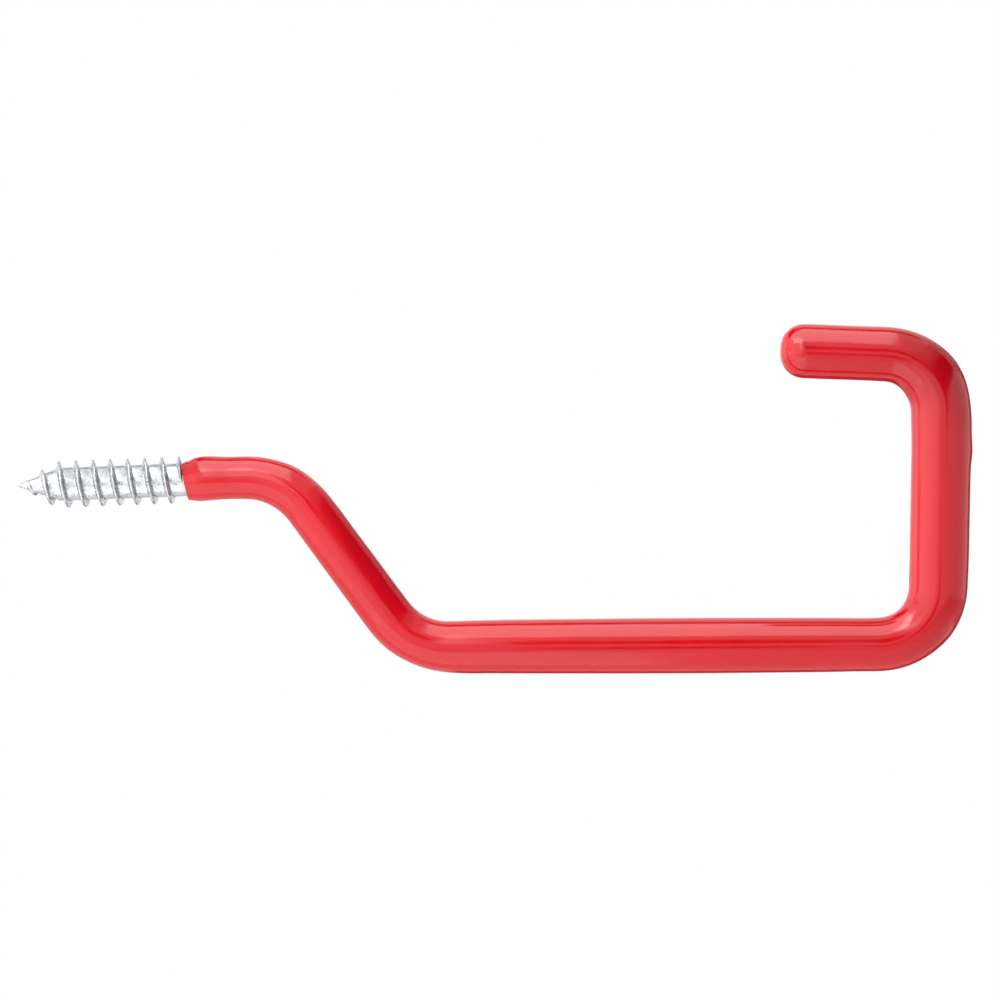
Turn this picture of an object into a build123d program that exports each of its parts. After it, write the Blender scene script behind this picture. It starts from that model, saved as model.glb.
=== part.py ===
"""Rafter hook: a bent steel rod with a wood-screw thread rolled on one end and a dip-coated vinyl skin.

The origin is on the screw's axis, at the rim of the vinyl. +X runs along the screw's axis towards the
hook and +Z is up, so the whole hook is bent in the XZ plane and is symmetric about it, thread aside.
Sizes are in millimetres and angles in degrees.
"""

from build123d import *
import math
import os

# Steel rod: 5/16 in wire, measured at its plain shank.
rod_diameter = 7.94
end_chamfer = 0.6

# Theoretical corners of the bent rod, as lengths between them and headings from the screw's axis.
neck_length = 21.6
slant_length = 44.9
run_length = 110.9
upright_length = 60.8
arm_length = 32.15
slant_heading = -55.6
run_heading = -1.8
upright_heading = 86.8
arm_heading = 175.8

# Bend radii on the rod's centre line.
neck_bend = 16.7
seat_bend = 16.4
toe_bend = 12.8
arm_bend = 12.2

# Rolled thread: seven turns to the inch, standing proud of the rod on a thinner core.
screw_length = 34.75
thread_pitch = 3.63
thread_diameter = 9.96
core_diameter = 6.97
crest_width = 0.35
root_width = 1.25
last_crest = 0.7
fade_turn = 0.16
fade_height = 0.05
shoulder_length = 1.0

# Gimlet point: half angles of the core's cone and of the cone that the crests follow.
point_angle = 20.7
crest_angle = 33
ridge_bite = 0.2

# Vinyl skin: wall over the rod on each straight, thicker where the liquid ran down as it hung.
rim_wall = 0.5
bead_wall = 0.72
neck_wall = 0.44
slant_wall = 1.13
run_wall = 1.72
upright_wall = 2.29
arm_wall = 1.78
tip_wall = 2.2
tip_round = 4.6
rim_slant = 6.3
rim_overrun = 1.0
bead_place = 4.6
neck_place = 9.6

rod_radius = rod_diameter / 2
core_radius = core_diameter / 2
thread_depth = (thread_diameter - core_diameter) / 2
point_x = -screw_length


def centre_line(start_x, last_length):
    """The rod's centre line in the XZ plane, from start_x on the screw's axis to the arm's end."""
    headings = (0, slant_heading, run_heading, upright_heading, arm_heading)
    lengths = (neck_length, slant_length, run_length, upright_length, last_length)
    corners = [Vector(start_x, 0, 0)]
    corner = Vector(0, 0, 0)
    for heading, length in zip(headings, lengths):
        corner += Vector(length, 0, 0).rotate(Axis.Y, -heading)
        corners.append(corner)
    with BuildLine() as line:
        FilletPolyline(*corners, radius=(neck_bend, seat_bend, toe_bend, arm_bend))
    return line.wire()


def round_section(line, place, radius):
    """A circle square to a line at a share of its length."""
    with BuildSketch(Plane(origin=line @ place, x_dir=(0, 1, 0), z_dir=line % place)) as section:
        Circle(radius)
    return section.sketch


def core_radius_at(x):
    """Radius of the screw's core at x: a cone from the point, then the plain core."""
    return min(core_radius, (x - point_x) * math.tan(math.radians(point_angle)))


def ridge_height_at(x):
    """Height of the thread above the core at x, growing from the point to the full depth."""
    crest = (x - point_x) * math.tan(math.radians(crest_angle))
    return min(thread_depth, crest - core_radius_at(x))


def ridge_section(x, turned, height):
    """The thread's section at x on the side that is turned about the screw's axis from the top."""
    share = height / thread_depth
    base = core_radius_at(x)
    land = crest_width / 2 * share
    foot = root_width / 2 * share
    sunk_foot = foot + (foot - land) * ridge_bite / height
    with BuildSketch(Plane.XZ.rotated((turned, 0, 0))) as section:
        with BuildLine():
            Polyline(
                (x - sunk_foot, base - ridge_bite),
                (x - land, base + height),
                (x + land, base + height),
                (x + sunk_foot, base - ridge_bite),
                close=True,
            )
        make_face()
    return section.sketch


def thread_turn(x, turns, height, end_height):
    """One right-hand turn of the thread, or part of one, from the top of the screw at x."""
    end_x = x + thread_pitch * turns
    grow = math.atan2(core_radius_at(end_x) - core_radius_at(x), end_x - x)
    with BuildLine() as lead:
        Helix(
            pitch=thread_pitch / math.cos(grow),
            height=end_x - x,
            radius=core_radius_at(x),
            center=(x, 0, 0),
            direction=(1, 0, 0),
            cone_angle=math.degrees(grow),
        )
    sections = [ridge_section(x, 0, height), ridge_section(end_x, 360 * turns, end_height)]
    sweep(sections=sections, path=lead.line, multisection=True, is_frenet=True)


def thread_starts():
    """Where each whole turn starts, from the last crest before the rim back to the point."""
    turns = int((screw_length - last_crest) / thread_pitch)
    return [-last_crest - thread_pitch * (turns - k) for k in range(turns)]


# Threaded rod: the core is turned first, then wound with its thread, then the bent shank is added.
with BuildPart() as threaded_rod:
    with BuildSketch(Plane.XZ):
        with BuildLine():
            Polyline(
                (point_x, 0),
                (point_x + core_radius / math.tan(math.radians(point_angle)), core_radius),
                (0, core_radius),
                (shoulder_length, rod_radius),
                (shoulder_length, 0),
                close=True,
            )
        make_face()
    revolve(axis=Axis.X)
    for start in thread_starts():
        thread_turn(start, 1, ridge_height_at(start), ridge_height_at(start + thread_pitch))
    thread_turn(-last_crest, fade_turn, thread_depth, thread_depth * fade_height)
    shank_line = centre_line(shoulder_length, arm_length)
    sweep(sections=round_section(shank_line, 0, rod_radius), path=shank_line)
    arm_face = threaded_rod.faces().filter_by(GeomType.PLANE).sort_by_distance(shank_line @ 1)[0]
    chamfer(arm_face.edges(), length=end_chamfer)

threaded_rod.part.label = "threaded_rod"


# Vinyl coating: its neck is turned with the bead behind the rim, the rest follows the rod's bends.
with BuildPart() as vinyl_coating:
    skin_line = centre_line(0, arm_length + tip_wall)
    stretches = skin_line.order_edges()
    walls = (neck_wall, slant_wall, run_wall, upright_wall, arm_wall)
    neck_end = (stretches[0] @ 1).X
    rim_point = (-rim_overrun, core_radius + rim_wall)
    neck_point = (neck_place, rod_radius + neck_wall)
    with BuildSketch(Plane.XZ):
        with BuildLine():
            ThreePointArc(rim_point, (bead_place, rod_radius + bead_wall), neck_point)
            Polyline(
                neck_point,
                (neck_end, rod_radius + neck_wall),
                (neck_end, 0),
                (-rim_overrun, 0),
                rim_point,
            )
        make_face()
    revolve(axis=Axis.X)
    for straight, wall in zip(stretches[2::2], walls[1:]):
        sweep(sections=round_section(straight, 0, rod_radius + wall), path=straight)
    for bend, wall, next_wall in zip(stretches[1::2], walls, walls[1:]):
        sections = [
            round_section(bend, 0, rod_radius + wall),
            round_section(bend, 1, rod_radius + next_wall),
        ]
        sweep(sections=sections, path=bend, multisection=True)
    tip_face = vinyl_coating.faces().filter_by(GeomType.PLANE).sort_by_distance(skin_line @ 1)[0]
    fillet(tip_face.edges(), radius=tip_round)
    split(bisect_by=Plane(origin=(0, 0, 0), z_dir=(1, 0, math.tan(math.radians(rim_slant)))), keep=Keep.TOP)
    add(threaded_rod.part, mode=Mode.SUBTRACT)

vinyl_coating.part.label = "vinyl_coating"

os.makedirs("parts", exist_ok=True)
export_step(threaded_rod.part, "parts/threaded_rod.step")
export_step(vinyl_coating.part, "parts/vinyl_coating.step")
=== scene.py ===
import math

import bpy
import numpy as np
from mathutils import Matrix, Vector


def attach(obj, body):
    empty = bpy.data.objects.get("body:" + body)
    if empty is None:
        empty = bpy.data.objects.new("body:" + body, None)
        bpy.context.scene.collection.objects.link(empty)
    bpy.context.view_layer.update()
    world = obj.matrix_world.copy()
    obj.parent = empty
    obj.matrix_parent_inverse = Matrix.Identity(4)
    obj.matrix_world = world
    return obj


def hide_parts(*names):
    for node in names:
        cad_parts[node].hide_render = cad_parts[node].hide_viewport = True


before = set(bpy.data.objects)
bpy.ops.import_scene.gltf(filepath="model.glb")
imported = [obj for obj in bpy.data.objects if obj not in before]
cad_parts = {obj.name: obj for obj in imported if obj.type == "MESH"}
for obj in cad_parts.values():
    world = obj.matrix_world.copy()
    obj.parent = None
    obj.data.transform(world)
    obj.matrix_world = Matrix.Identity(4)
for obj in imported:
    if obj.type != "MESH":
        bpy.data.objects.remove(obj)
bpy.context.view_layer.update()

# Vinyl coating: the bent hook was dipped in liquid red PVC, point up, and hung to run and cure.
# Its skin is thin at the neck, thickest round the upright, and ends at the screw in a soft bead.
# It is drawn off the rod ring by ring: along the bore to the rim, over the lip and back outside.
mm = 0.001
rod_radius = 3.97 * mm
ring_corners = 56
stretches = [
    (12.80 * mm, 0.0),
    (16.21 * mm, math.radians(-55.6)),
    (27.77 * mm, 0.0),
    (15.40 * mm, math.radians(53.8)),
    (90.09 * mm, 0.0),
    (19.79 * mm, math.radians(88.6)),
    (36.32 * mm, 0.0),
    (18.95 * mm, math.radians(89.0)),
    (22.36 * mm, 0.0),
]
skin_length = sum(length for length, turn in stretches)
# The skin's walls, and the places along the rod that they stand at, in millimetres.
wall_places = [10, 14, 17, 21, 29, 44, 57, 63, 69, 73, 84, 111, 126, 151, 159, 166, 171, 175, 179, 190, 202,
               217, 225, 230, 234, 242, 253, 262]
walls = [0.50, 0.50, 0.61, 0.80, 1.05, 1.15, 1.22, 1.17, 1.33, 1.52, 1.72, 1.87, 1.90, 1.78, 1.65, 1.70,
         1.80, 2.06, 2.22, 2.30, 2.30, 2.37, 2.38, 2.12, 1.88, 1.76, 1.80, 1.72]
wall_smoothing = 2.5
wall_samples = 11
rim_slant = math.radians(9.9)
slant_reach = 9 * mm
# The lip and the bead behind it: place along the rod, radius, and how far the ring's middle sags.
rim_rings = [(1.60, 3.97, 0.0), (1.00, 3.84, 0.02), (0.55, 3.54, 0.06), (0.42, 3.58, 0.14),
             (0.40, 3.80, 0.28), (0.40, 3.90, 0.38), (0.44, 3.95, 0.42), (0.60, 3.99, 0.43),
             (1.00, 4.04, 0.42), (1.60, 4.18, 0.34), (2.40, 4.48, 0.17), (3.20, 4.67, 0.04),
             (4.20, 4.75, -0.05), (5.40, 4.72, -0.11), (6.80, 4.65, -0.11), (8.20, 4.56, -0.06),
             (9.40, 4.50, -0.02)]
bore_from_end = 1 * mm
bore_from_rim = 3 * mm
bore_rings = 70
skin_from_rim = 10.4 * mm
skin_rings = 150
tip_wall = 2.2 * mm
tip_round = 5.0 * mm
tip_crown = 0.035 * mm
tip_rings = 9
# Swells where the skin ran and set: place along the rod, side (1 is inside the hook), height, reach.
swells = [(22, 1, 0.12, 5), (34, 1, 0.06, 6), (13, -1, 0.08, 5), (62, -1, 0.08, 5), (76, -1, 0.10, 6),
          (166, 1, 0.12, 5), (170, 1, -0.08, 4), (175, -1, 0.12, 5), (182, -1, -0.08, 5),
          (210.3, -1, 0.30, 3.6), (212, -1, 0.06, 7), (221, 1, 0.22, 8), (221, -1, -0.24, 6),
          (227, -1, 0.14, 5)]


def rod_place(s):
    """The point on the rod's centre line at s from the rim, and the rod's heading there."""
    x, z, heading = 0.0, 0.0, 0.0
    for length, turn in stretches:
        part = min(s, length)
        if turn:
            bend = length / turn
            ahead = heading + part / bend
            x += bend * (math.sin(ahead) - math.sin(heading))
            z -= bend * (math.cos(ahead) - math.cos(heading))
            heading = ahead
        else:
            x += part * math.cos(heading)
            z += part * math.sin(heading)
        s -= part
    past_end = Vector((math.cos(heading), 0, math.sin(heading))) * s
    return Vector((x, 0, z)) + past_end, heading


def draw_ring(was, s, radius, sag=0.0, tilt=0.0):
    """Extrudes the open ring of the mesh from where it was to the place s on the rod."""
    centre, heading = rod_place(s)
    centre.z -= sag
    old_centre, old_heading, old_radius = was
    bpy.ops.mesh.extrude_region_move(TRANSFORM_OT_translate={"value": centre - old_centre})
    bpy.ops.transform.rotate(value=heading + tilt - old_heading, orient_axis="Y", center_override=centre)
    bpy.ops.transform.resize(value=[radius / old_radius] * 3, center_override=centre)
    return centre, heading + tilt, radius


def skin_radius(s):
    """The skin's outer radius at s, from the walls at the places above, eased over a short way."""
    around = np.linspace(s / mm - wall_smoothing, s / mm + wall_smoothing, wall_samples)
    return rod_radius + float(np.interp(around, wall_places, walls).mean()) * mm


bpy.ops.object.select_all(action="DESELECT")
bore_length = skin_length - tip_wall
bore_end, bore_heading = rod_place(bore_length)
bpy.ops.mesh.primitive_circle_add(
    vertices=ring_corners, radius=rod_radius, location=bore_end, rotation=(0, math.pi / 2 - bore_heading, 0))
vinyl = bpy.context.object
vinyl.name = "vinyl_skin"
bpy.ops.object.transform_apply(location=True, rotation=True, scale=True)
bpy.ops.object.mode_set(mode="EDIT")
bpy.ops.mesh.select_all(action="SELECT")
ring = (bore_end, bore_heading, rod_radius)
for s in np.linspace(bore_length - bore_from_end, bore_from_rim, bore_rings):
    ring = draw_ring(ring, s, rod_radius)
for place, radius, sag in rim_rings:
    s = place * mm
    tilt = rim_slant * max(0.0, 1 - s / slant_reach) ** 2
    ring = draw_ring(ring, s, radius * mm, sag * mm, tilt)
outer_end = skin_length - tip_round
for s in np.linspace(skin_from_rim, outer_end, skin_rings):
    ring = draw_ring(ring, s, skin_radius(s))
tip_radius = skin_radius(outer_end)
flat = tip_radius - tip_round
for step in range(1, tip_rings + 1):
    lean = math.pi / 2 * step / tip_rings
    ring = draw_ring(ring, outer_end + tip_round * math.sin(lean), flat + tip_round * math.cos(lean))
ring = draw_ring(ring, skin_length + tip_crown, flat / 2)

# The tip is closed at its middle, and so is the blind end of the bore, where the drawing began.
bpy.ops.mesh.extrude_region_move()
bpy.ops.mesh.merge(type="CENTER")
bpy.ops.mesh.select_all(action="DESELECT")
bpy.ops.mesh.select_non_manifold()
bpy.ops.mesh.extrude_region_move()
bpy.ops.mesh.merge(type="CENTER")
bpy.ops.mesh.select_all(action="SELECT")
bpy.ops.mesh.normals_make_consistent(inside=False)

for place, side, height, reach in swells:
    centre, heading = rod_place(place * mm)
    outward = Vector((-math.sin(heading), 0, math.cos(heading))) * side
    spot = centre + outward * skin_radius(place * mm)
    bpy.ops.mesh.select_all(action="DESELECT")
    bpy.ops.object.mode_set(mode="OBJECT")
    nearest = min(vinyl.data.vertices, key=lambda vertex: (vertex.co - spot).length)
    nearest.select = True
    bpy.ops.object.mode_set(mode="EDIT")
    bpy.ops.transform.translate(
        value=outward * height * mm, use_proportional_edit=True, use_proportional_connected=True,
        proportional_edit_falloff="SMOOTH", proportional_size=reach * mm)
bpy.ops.object.mode_set(mode="OBJECT")

# Each point keeps its place on the rod as if the rod were straight, for the run marks to follow.
line_steps = 1100
line_places = np.linspace(0, skin_length, line_steps)
line = [rod_place(s) for s in line_places]
middles = np.array([centre for centre, heading in line])
headings = np.array([heading for centre, heading in line])
points = np.empty(len(vinyl.data.vertices) * 3)
vinyl.data.vertices.foreach_get("co", points)
points = points.reshape(-1, 3)
away = (points[:, None, 0] - middles[:, 0]) ** 2 + (points[:, None, 2] - middles[:, 2]) ** 2
beside = away.argmin(axis=1)
offset = points - middles[beside]
inward = -np.sin(headings[beside]) * offset[:, 0] + np.cos(headings[beside]) * offset[:, 2]
unbent = np.column_stack([line_places[beside], offset[:, 1], inward])
place_on_rod = vinyl.data.attributes.new("unbent", "FLOAT_VECTOR", "POINT")
place_on_rod.data.foreach_set("vector", unbent.ravel())

bpy.ops.object.modifier_add(type="SUBSURF")
vinyl.modifiers[0].levels = vinyl.modifiers[0].render_levels = 1
bpy.ops.object.modifier_apply(modifier=vinyl.modifiers[0].name)
bpy.ops.object.shade_smooth()

# Glossy PVC straight from the tank: a red that is darker outside the arm's bend, with painted shade
# along the inside of the slant, and with faint run marks and a slightly uneven gloss.
red_vinyl = bpy.data.materials.new("dipped_red_vinyl")
red_vinyl.use_nodes = True
nodes, links = red_vinyl.node_tree.nodes, red_vinyl.node_tree.links
gloss = nodes["Principled BSDF"]
gloss.inputs["IOR"].default_value = 1.54
straight = nodes.new("ShaderNodeAttribute")
straight.attribute_name = "unbent"

pigment = nodes.new("ShaderNodeTexNoise")
pigment.inputs["Scale"].default_value = 45
pigment.inputs["Detail"].default_value = 3
links.new(straight.outputs["Vector"], pigment.inputs["Vector"])
shade = nodes.new("ShaderNodeValToRGB")
shade.color_ramp.elements[0].position = 0.3
shade.color_ramp.elements[0].color = (0.558, 0.0012, 0.0075, 1)
shade.color_ramp.elements[1].position = 0.7
shade.color_ramp.elements[1].color = (0.603, 0.0022, 0.0105, 1)
links.new(pigment.outputs["Fac"], shade.inputs["Fac"])
# A darker red outside the arm's bend, round a place given on the straightened rod.
from_arm_bend = nodes.new("ShaderNodeVectorMath")
from_arm_bend.operation = "DISTANCE"
from_arm_bend.inputs[1].default_value = (226 * mm, 0, -5 * mm)
links.new(straight.outputs["Vector"], from_arm_bend.inputs[0])
darker_outside_arm_bend = nodes.new("ShaderNodeMapRange")
darker_outside_arm_bend.interpolation_type = "SMOOTHSTEP"
darker_outside_arm_bend.inputs["From Min"].default_value = 18 * mm
darker_outside_arm_bend.inputs["From Max"].default_value = 3 * mm
links.new(from_arm_bend.outputs["Value"], darker_outside_arm_bend.inputs["Value"])
# Painted shade: a darker red along the inside of the slant, drawn out along the rod.
drawn_out = nodes.new("ShaderNodeMapping")
drawn_out.inputs["Scale"].default_value = (0.3, 1, 1)
links.new(straight.outputs["Vector"], drawn_out.inputs["Vector"])
from_slant = nodes.new("ShaderNodeVectorMath")
from_slant.operation = "DISTANCE"
from_slant.inputs[1].default_value = (12.9 * mm, 0, 4 * mm)
links.new(drawn_out.outputs["Vector"], from_slant.inputs[0])
painted_shade_on_slant = nodes.new("ShaderNodeMapRange")
painted_shade_on_slant.interpolation_type = "SMOOTHSTEP"
painted_shade_on_slant.inputs["From Min"].default_value = 7 * mm
painted_shade_on_slant.inputs["From Max"].default_value = 3 * mm
painted_shade_on_slant.inputs["To Max"].default_value = 0.85
links.new(from_slant.outputs["Value"], painted_shade_on_slant.inputs["Value"])
either = nodes.new("ShaderNodeMath")
either.operation = "MAXIMUM"
links.new(darker_outside_arm_bend.outputs["Result"], either.inputs[0])
links.new(painted_shade_on_slant.outputs["Result"], either.inputs[1])
# The darker red, outside the arm's bend and as painted shade along the inside of the slant.
darker_red_and_painted_shade = nodes.new("ShaderNodeMix")
darker_red_and_painted_shade.data_type = "RGBA"
darker_red_and_painted_shade.inputs["B"].default_value = (0.44, 0.0015, 0.0085, 1)
links.new(either.outputs["Value"], darker_red_and_painted_shade.inputs["Factor"])
links.new(shade.outputs["Color"], darker_red_and_painted_shade.inputs["A"])
links.new(darker_red_and_painted_shade.outputs["Result"], gloss.inputs["Base Color"])

cloud = nodes.new("ShaderNodeTexNoise")
cloud.inputs["Scale"].default_value = 260
cloud.inputs["Detail"].default_value = 4
links.new(straight.outputs["Vector"], cloud.inputs["Vector"])
haze = nodes.new("ShaderNodeMapRange")
haze.inputs["From Min"].default_value = 0.3
haze.inputs["From Max"].default_value = 0.7
haze.inputs["To Min"].default_value = 0.10
haze.inputs["To Max"].default_value = 0.17
links.new(cloud.outputs["Fac"], haze.inputs["Value"])
links.new(haze.outputs["Result"], gloss.inputs["Roughness"])

stretch = nodes.new("ShaderNodeMapping")
stretch.inputs["Scale"].default_value = (28, 420, 420)
links.new(straight.outputs["Vector"], stretch.inputs["Vector"])
runs = nodes.new("ShaderNodeTexNoise")
runs.inputs["Scale"].default_value = 1.0
runs.inputs["Detail"].default_value = 2
links.new(stretch.outputs["Vector"], runs.inputs["Vector"])
patches = nodes.new("ShaderNodeTexNoise")
patches.inputs["Scale"].default_value = 32
links.new(straight.outputs["Vector"], patches.inputs["Vector"])
here = nodes.new("ShaderNodeMapRange")
here.inputs["From Min"].default_value = 0.45
here.inputs["From Max"].default_value = 0.65
here.inputs["To Min"].default_value = 0.12
links.new(patches.outputs["Fac"], here.inputs["Value"])
run_marks = nodes.new("ShaderNodeBump")
run_marks.inputs["Distance"].default_value = 0.10 * mm
links.new(here.outputs["Result"], run_marks.inputs["Strength"])
links.new(runs.outputs["Fac"], run_marks.inputs["Height"])
peel = nodes.new("ShaderNodeBump")
peel.inputs["Distance"].default_value = 0.012 * mm
links.new(cloud.outputs["Fac"], peel.inputs["Height"])
links.new(run_marks.outputs["Normal"], peel.inputs["Normal"])
links.new(peel.outputs["Normal"], gloss.inputs["Normal"])
vinyl.data.materials.append(red_vinyl)
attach(vinyl, "root")
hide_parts("vinyl_coating")

# Threaded rod: one length of 5/16 in steel wire. Its end is rolled between dies into a coarse wood
# screw thread with a gimlet point, then it is bent cold and zinc plated. The skin hides the rest.
pitch = 3.63 * mm
core_radius = 3.485 * mm
thread_depth = 1.495 * mm
point_x = -34.75 * mm
last_crest = -0.70 * mm
# The winding runs over at both ends. What runs over falls in with the point and the shank's start.
turns = 12
turns_past_rim = 2
thread_steps = 72
point_angle = math.radians(20.7)
crest_angle = math.radians(33)
blunt_radius = 0.22 * mm
blunt_reach = 0.3 * mm
fade_from, fade_to = -0.55 * mm, 0.05 * mm
shoulder_from, shoulder_to = 1.4 * mm, 2.6 * mm
shank_x = 2.8 * mm
shank_from_rim = 5 * mm
shank_rings = 80
end_chamfer = 0.6 * mm
# Half of the section that is wound: place beside the crest and height above the core, in millimetres.
half_ridge = [(1.815, 0.0), (0.86, 0.0), (0.72, 0.03), (0.61, 0.12), (0.52, 0.32), (0.28, 1.22),
              (0.21, 1.39), (0.11, 1.47)]

bpy.ops.object.select_all(action="DESELECT")
bpy.ops.mesh.primitive_plane_add(size=mm)
rod = bpy.context.object
rod.name = "threaded_steel_rod"
bpy.ops.object.mode_set(mode="EDIT")
bpy.ops.mesh.select_all(action="SELECT")
bpy.ops.mesh.merge(type="CENTER")
first_crest = last_crest - (turns - turns_past_rim) * pitch
ridge = [(-x, height) for x, height in half_ridge] + [(0.0, thread_depth / mm)] + half_ridge[::-1]
spot = Vector((first_crest + ridge[0][0] * mm, 0, core_radius + ridge[0][1] * mm))
bpy.ops.transform.translate(value=spot)
for x, height in ridge[1:]:
    corner = Vector((first_crest + x * mm, 0, core_radius + height * mm))
    bpy.ops.mesh.extrude_region_move(TRANSFORM_OT_translate={"value": corner - spot})
    spot = corner
bpy.ops.object.mode_set(mode="OBJECT")
bpy.ops.object.modifier_add(type="SCREW")
winding = rod.modifiers[0]
winding.axis = "X"
winding.angle = 2 * math.pi
winding.screw_offset = pitch
winding.iterations = turns
winding.steps = winding.render_steps = thread_steps
winding.use_merge_vertices = True
winding.merge_threshold = 0.01 * mm
bpy.ops.object.modifier_apply(modifier=winding.name)

# The wound thread is drawn down to its point, faded out at the rim and raised to the shank.
for vertex in rod.data.vertices:
    x, y, z = vertex.co
    across = math.hypot(y, z)
    share = (across - core_radius) / thread_depth
    x = min(max(x, point_x), shank_x)
    from_point = x - point_x
    blunted = blunt_radius * min(1, from_point / blunt_reach) ** 0.5
    core = min(core_radius, from_point * math.tan(point_angle) + blunted)
    crest = max(0.0, min(thread_depth, from_point * math.tan(crest_angle) - core))
    fade = min(1.0, max(0.0, (fade_to - x) / (fade_to - fade_from)))
    rise = min(1.0, max(0.0, (x - shoulder_from) / (shoulder_to - shoulder_from)))
    radius = core + (rod_radius - core_radius) * rise + share * crest * fade
    vertex.co = (x, y / across * radius, z / across * radius)
bpy.ops.object.mode_set(mode="EDIT")
bpy.ops.mesh.select_all(action="SELECT")
bpy.ops.mesh.remove_doubles(threshold=0.004 * mm)
bpy.ops.mesh.select_all(action="DESELECT")
bpy.ops.object.mode_set(mode="OBJECT")

# The shank follows the bends inside the skin to the rod's chamfered end.
for vertex in rod.data.vertices:
    vertex.select = vertex.co.x > shank_x - 0.001 * mm
bpy.ops.object.mode_set(mode="EDIT")
ring = (Vector((shank_x, 0, 0)), 0.0, rod_radius)
for s in np.linspace(shank_from_rim, bore_length - end_chamfer, shank_rings):
    ring = draw_ring(ring, s, rod_radius)
ring = draw_ring(ring, bore_length, rod_radius - end_chamfer)
bpy.ops.mesh.extrude_region_move()
bpy.ops.mesh.merge(type="CENTER")
bpy.ops.mesh.select_all(action="SELECT")
bpy.ops.mesh.normals_make_consistent(inside=False)
bpy.ops.object.mode_set(mode="OBJECT")
bpy.ops.object.shade_smooth()

# Bright zinc over a rolled surface: pale and a little blue, mottled, with small dark pits, and painted
# shade, a dull grey, on the flanks of the thread that face the hook.
zinc = bpy.data.materials.new("bright_zinc_plate")
zinc.use_nodes = True
nodes, links = zinc.node_tree.nodes, zinc.node_tree.links
plate = nodes["Principled BSDF"]
plate.inputs["Metallic"].default_value = 1.0
where = nodes.new("ShaderNodeTexCoord")
mottle = nodes.new("ShaderNodeTexNoise")
mottle.inputs["Scale"].default_value = 1400
mottle.inputs["Detail"].default_value = 4
links.new(where.outputs["Object"], mottle.inputs["Vector"])
plating = nodes.new("ShaderNodeValToRGB")
plating.color_ramp.elements[0].position = 0.36
plating.color_ramp.elements[0].color = (0.52, 0.54, 0.56, 1)
plating.color_ramp.elements[1].position = 0.56
plating.color_ramp.elements[1].color = (0.71, 0.735, 0.76, 1)
links.new(mottle.outputs["Fac"], plating.inputs["Fac"])
grit = nodes.new("ShaderNodeTexNoise")
grit.inputs["Scale"].default_value = 1900
grit.inputs["Detail"].default_value = 1
links.new(where.outputs["Object"], grit.inputs["Vector"])
pitted = nodes.new("ShaderNodeMapRange")
pitted.inputs["From Min"].default_value = 0.68
pitted.inputs["From Max"].default_value = 0.74
links.new(grit.outputs["Fac"], pitted.inputs["Value"])
pits = nodes.new("ShaderNodeMix")
pits.data_type = "RGBA"
pits.inputs["B"].default_value = (0.10, 0.10, 0.11, 1)
links.new(pitted.outputs["Result"], pits.inputs["Factor"])
links.new(plating.outputs["Color"], pits.inputs["A"])
# Painted shade: the flanks that face the hook, above the foot of each turn, are painted a streaky dull grey.
facing = nodes.new("ShaderNodeSeparateXYZ")
links.new(where.outputs["Normal"], facing.inputs["Vector"])
streaks = nodes.new("ShaderNodeMath")
streaks.operation = "ADD"
links.new(facing.outputs["X"], streaks.inputs[0])
links.new(grit.outputs["Fac"], streaks.inputs[1])
painted_flank_shade = nodes.new("ShaderNodeMapRange")
painted_flank_shade.inputs["From Min"].default_value = 0.85
painted_flank_shade.inputs["From Max"].default_value = 1.25
painted_flank_shade.inputs["To Max"].default_value = 0.65
links.new(streaks.outputs["Value"], painted_flank_shade.inputs["Value"])
above_foot = nodes.new("ShaderNodeMapRange")
above_foot.inputs["From Min"].default_value = -0.20
above_foot.inputs["From Max"].default_value = -0.06
links.new(facing.outputs["Z"], above_foot.inputs["Value"])
painted_flank_shade_above_foot = nodes.new("ShaderNodeMath")
painted_flank_shade_above_foot.operation = "MULTIPLY"
links.new(painted_flank_shade.outputs["Result"], painted_flank_shade_above_foot.inputs[0])
links.new(above_foot.outputs["Result"], painted_flank_shade_above_foot.inputs[1])
flanks = nodes.new("ShaderNodeMix")
flanks.data_type = "RGBA"
flanks.inputs["B"].default_value = (0.28, 0.29, 0.30, 1)
links.new(painted_flank_shade_above_foot.outputs["Value"], flanks.inputs["Factor"])
links.new(pits.outputs["Result"], flanks.inputs["A"])
links.new(flanks.outputs["Result"], plate.inputs["Base Color"])
satin = nodes.new("ShaderNodeMapRange")
satin.inputs["From Min"].default_value = 0.3
satin.inputs["From Max"].default_value = 0.7
satin.inputs["To Min"].default_value = 0.38
satin.inputs["To Max"].default_value = 0.22
links.new(mottle.outputs["Fac"], satin.inputs["Value"])
links.new(satin.outputs["Result"], plate.inputs["Roughness"])
rolled = nodes.new("ShaderNodeBump")
rolled.inputs["Distance"].default_value = 0.04 * mm
links.new(mottle.outputs["Fac"], rolled.inputs["Height"])
links.new(rolled.outputs["Normal"], plate.inputs["Normal"])
rod.data.materials.append(zinc)
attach(rod, "root")
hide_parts("threaded_rod")

# Floor: a plain pale sheet that lies level, well below the hook. The camera looks over it, so it shows
# only in views from higher up.
floor_size = 2.4
floor_place = (0.067, 0, -0.30)
bpy.ops.object.select_all(action="DESELECT")
bpy.ops.mesh.primitive_plane_add(size=floor_size, location=floor_place)
floor = bpy.context.object
floor.name = "floor"
pale = bpy.data.materials.new("pale_floor")
pale.use_nodes = True
pale.node_tree.nodes["Principled BSDF"].inputs["Base Color"].default_value = (0.86, 0.86, 0.86, 1)
pale.node_tree.nodes["Principled BSDF"].inputs["Roughness"].default_value = 0.8
floor.data.materials.append(pale)


# Soft boxes: a broad one above, a brighter one high on the left, a long one and a low one on the left
# and a small one aimed at the neck. Five more lamps fill in the shade and aren't mirrored in the hook.
hook_middle = (0.067, 0, -0.01)


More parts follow.
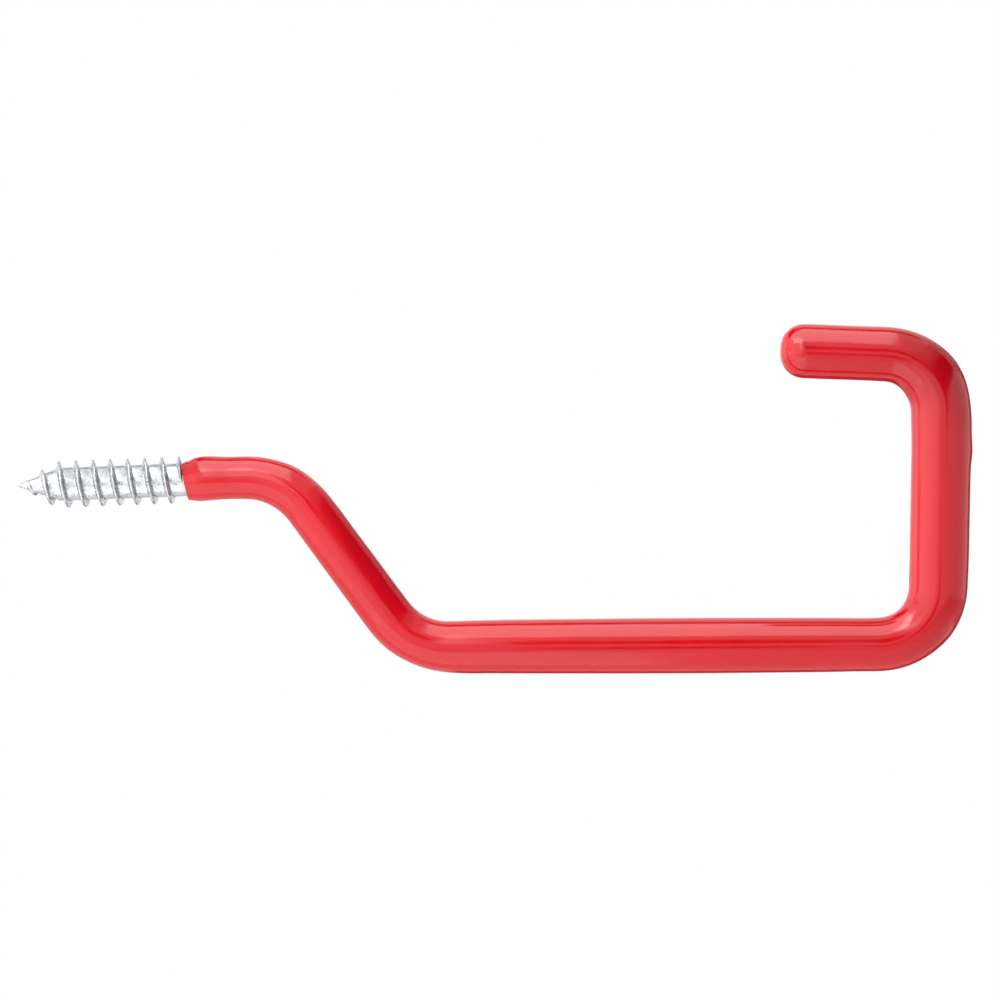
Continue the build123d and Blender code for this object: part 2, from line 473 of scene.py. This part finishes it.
def soft_box(name, centre, facing, width, height, radiance, spread=180, mirrored=True):
    """A rectangular lamp of even radiance that faces a point and that the camera doesn't see."""
    lamp = bpy.data.lights.new(name, "AREA")
    lamp.shape = "RECTANGLE"
    lamp.size, lamp.size_y = width, height
    lamp.energy = radiance * width * height * math.pi
    lamp.spread = math.radians(spread)
    box = bpy.data.objects.new(name, lamp)
    bpy.context.scene.collection.objects.link(box)
    box.location = centre
    box.rotation_euler = (Vector(facing) - Vector(centre)).to_track_quat("-Z", "Y").to_euler()
    box.visible_camera = False
    box.visible_glossy = mirrored


soft_box("soft_box_above", (-0.115, -0.2925, 0.6), (-0.115, -0.2925, 0), 0.83, 0.845, 2.1)
soft_box("soft_box_high_left", (-0.262, -0.420, 0.54), hook_middle, 0.58, 0.30, 2.9)
soft_box("soft_box_left", (-0.30, -0.25, 0.105), (0.067, -0.118, 0.105), 1.606, 0.79, 0.58, spread=135)
soft_box("soft_box_low_left", (-0.115, -0.31, -0.292), (-0.115, -0.31, 0), 0.43, 0.58, 0.70)
soft_box("soft_box_at_neck", (0.0, -0.35, 0.175), (0.0, 0, 0.0), 0.10, 0.26, 1.5)
soft_box("fill_front_left", (-0.12, -0.25, -0.03), (0.02, 0, -0.01), 0.16, 0.16, 0.5, mirrored=False)
soft_box("fill_at_neck", (0.004, -0.05, 0.012), (0.008, 0, 0), 0.02, 0.02, 5.0, mirrored=False)
soft_box("fill_below_run", (0.09, -0.12, -0.10), (0.09, 0, -0.036), 0.10, 0.06, 1.4, mirrored=False)
soft_box("fill_at_arm", (0.10, -0.15, 0.10), (0.15, 0, 0.028), 0.06, 0.06, 1.0, mirrored=False)
soft_box("fill_back_right", (0.60, 0.25, -0.04), (0.16, 0, -0.02), 0.50, 0.50, 2.0, mirrored=False)


# Cards: black and grey ones that keep the white room out of the gloss on the right, in front and
# behind, and along the edges of the boxes, where the hook mirrors a thin dark line.
right_cards_turn = -22.8


def card(name, centre, facing, width, height, grey, turn=0.0):
    """A matt card that faces a point. It is part of the studio and the camera doesn't see it."""
    bpy.ops.mesh.primitive_plane_add(size=1, location=centre)
    sheet = bpy.context.object
    sheet.name = name
    sheet.scale = (width, height, 1)
    facing_it = (Vector(facing) - Vector(centre)).to_track_quat("Z", "Y").to_matrix()
    sheet.rotation_euler = (facing_it @ Matrix.Rotation(math.radians(turn), 3, "Z")).to_euler()
    bpy.ops.object.transform_apply(location=False, rotation=False, scale=True)
    matt = bpy.data.materials.new(name)
    matt.use_nodes = True
    matt.node_tree.nodes["Principled BSDF"].inputs["Base Color"].default_value = (grey, grey, grey, 1)
    matt.node_tree.nodes["Principled BSDF"].inputs["Roughness"].default_value = 1.0
    matt.node_tree.nodes["Principled BSDF"].inputs["Specular IOR Level"].default_value = 0.0
    sheet.data.materials.append(matt)
    sheet.visible_camera = False
    sheet.visible_shadow = False


card("black_card_right", (0.512, -0.312, 0.26), hook_middle, 1.12, 0.19, 0.02, right_cards_turn)
card("grey_card_right", (0.495, -0.300, 0.40), hook_middle, 1.12, 0.19, 0.50, right_cards_turn)
card("black_card_front_right", (0.350, -0.820, 0.19), (0.035, 0, -0.015), 0.16, 0.22, 0.02, right_cards_turn)
card("grey_card_back_right", (0.45, 0.25, 0.28), hook_middle, 0.30, 0.22, 0.50)
card("black_card_back_left", (-0.22, 0.41, 0.547), hook_middle, 0.45, 0.22, 0.03)
card("black_strip_above", (-0.115, 0.255, 0.6), (-0.115, 0.255, 0), 1.2, 0.13, 0.02)
card("black_strip_left", (-0.51, 0.11, 0.0), (0.067, 0, 0), 0.09, 0.8, 0.02)
card("dark_card_behind_below", (0.215, 0.27, -0.15), (0.215, 0, 0), 0.36, 0.28, 0.10)
card("dark_card_behind_right", (0.47, 0.52, 0.0), (0.16, 0, 0), 0.42, 0.60, 0.15)


# Glowing sheets: two behind the camera, above and below it, that are dim in the middle and as white
# as the room at the edge, a white one over the thread that keeps the box above out of the zinc, and a
# white one behind the thread that keeps the dark cards out of it.
def glowing_sheet(name, centre, facing, width, height, middle, shadow=False):
    """A sheet that faces a point and glows, from middle at its centre to white at its edge."""
    bpy.ops.mesh.primitive_plane_add(size=1, location=centre)
    sheet = bpy.context.object
    sheet.name = name
    sheet.scale = (width, height, 1)
    sheet.rotation_euler = (Vector(facing) - Vector(centre)).to_track_quat("Z", "Y").to_euler()
    glow = bpy.data.materials.new(name)
    glow.use_nodes = True
    nodes, links = glow.node_tree.nodes, glow.node_tree.links
    nodes.remove(nodes["Principled BSDF"])
    where = nodes.new("ShaderNodeTexCoord")
    distance = nodes.new("ShaderNodeVectorMath")
    distance.operation = "LENGTH"
    links.new(where.outputs["Object"], distance.inputs["Vector"])
    fall = nodes.new("ShaderNodeMapRange")
    fall.interpolation_type = "SMOOTHSTEP"
    fall.inputs["From Min"].default_value = 0.28
    fall.inputs["From Max"].default_value = 0.5
    fall.inputs["To Min"].default_value = middle
    fall.inputs["To Max"].default_value = 1.0
    links.new(distance.outputs["Value"], fall.inputs["Value"])
    shine = nodes.new("ShaderNodeEmission")
    links.new(fall.outputs["Result"], shine.inputs["Strength"])
    links.new(shine.outputs["Emission"], nodes["Material Output"].inputs["Surface"])
    sheet.data.materials.append(glow)
    sheet.visible_camera = False
    sheet.visible_shadow = shadow


glowing_sheet("dim_sheet_high", (0.16, -1.05, 0.28), (0.16, 0, 0.28), 0.30, 0.46, 0.05)
glowing_sheet("dim_sheet_low", (0.152, -1.05, -0.155), (0.152, 0, -0.155), 0.25, 0.27, 0.03)
glowing_sheet("sheet_over_thread", (-0.036, -0.022, 0.05), (-0.036, -0.022, 0), 0.052, 0.11, 1.0, shadow=True)
glowing_sheet("sheet_behind_thread", (0.045, 0.09, -0.02), (-0.01, 0, -0.004), 0.09, 0.05, 1.0)

# Room: plain white where it is seen or mirrored. For what it lights it is bright behind the hook,
# where the white sweep is, and dim in front.
world = bpy.data.worlds.new("white_room")
bpy.context.scene.world = world
world.use_nodes = True
nodes, links = world.node_tree.nodes, world.node_tree.links
direction = nodes.new("ShaderNodeTexCoord")
split = nodes.new("ShaderNodeSeparateXYZ")
links.new(direction.outputs["Generated"], split.inputs["Vector"])
sweep_light = nodes.new("ShaderNodeMapRange")
sweep_light.inputs["From Min"].default_value = -0.1
sweep_light.inputs["From Max"].default_value = 0.6
sweep_light.inputs["To Min"].default_value = 0.15
sweep_light.inputs["To Max"].default_value = 1.0
links.new(split.outputs["Y"], sweep_light.inputs["Value"])
room = nodes["Background"]
room.inputs["Color"].default_value = (1, 1, 1, 1)
links.new(sweep_light.outputs["Result"], room.inputs["Strength"])
white = nodes.new("ShaderNodeBackground")
white.inputs["Color"].default_value = (1, 1, 1, 1)
white.inputs["Strength"].default_value = 1.0
ray = nodes.new("ShaderNodeLightPath")
seen_or_mirrored = nodes.new("ShaderNodeMath")
seen_or_mirrored.operation = "MAXIMUM"
links.new(ray.outputs["Is Camera Ray"], seen_or_mirrored.inputs[0])
links.new(ray.outputs["Is Glossy Ray"], seen_or_mirrored.inputs[1])
or_through = nodes.new("ShaderNodeMath")
or_through.operation = "MAXIMUM"
links.new(seen_or_mirrored.outputs["Value"], or_through.inputs[0])
links.new(ray.outputs["Is Transmission Ray"], or_through.inputs[1])
pick = nodes.new("ShaderNodeMixShader")
links.new(or_through.outputs["Value"], pick.inputs["Fac"])
links.new(room.outputs["Background"], pick.inputs[1])
links.new(white.outputs["Background"], pick.inputs[2])
links.new(pick.outputs["Shader"], nodes["World Output"].inputs["Surface"])

# Camera: square to the plane the hook is bent in, about 0.9 m off, and rolled by the 2.1 degrees at
# which the screw's axis lies in the picture.
roll = math.radians(2.1)
aimed_at = Vector((66.69 * mm, 0, -6.729 * mm))
camera_distance = 0.9
camera_data = bpy.data.cameras.new("camera")
camera_data.sensor_width = 36
camera_data.lens = 153.55
camera = bpy.data.objects.new("camera", camera_data)
bpy.context.scene.collection.objects.link(camera)
right = Vector((math.cos(roll), 0, -math.sin(roll)))
up = Vector((math.sin(roll), 0, math.cos(roll)))
back = right.cross(up)
camera_place = Matrix((right, up, back)).transposed().to_4x4()
camera_place.translation = aimed_at + back * camera_distance
camera.matrix_world = camera_place
bpy.context.scene.camera = camera
bpy.context.scene.view_settings.view_transform = "Standard"
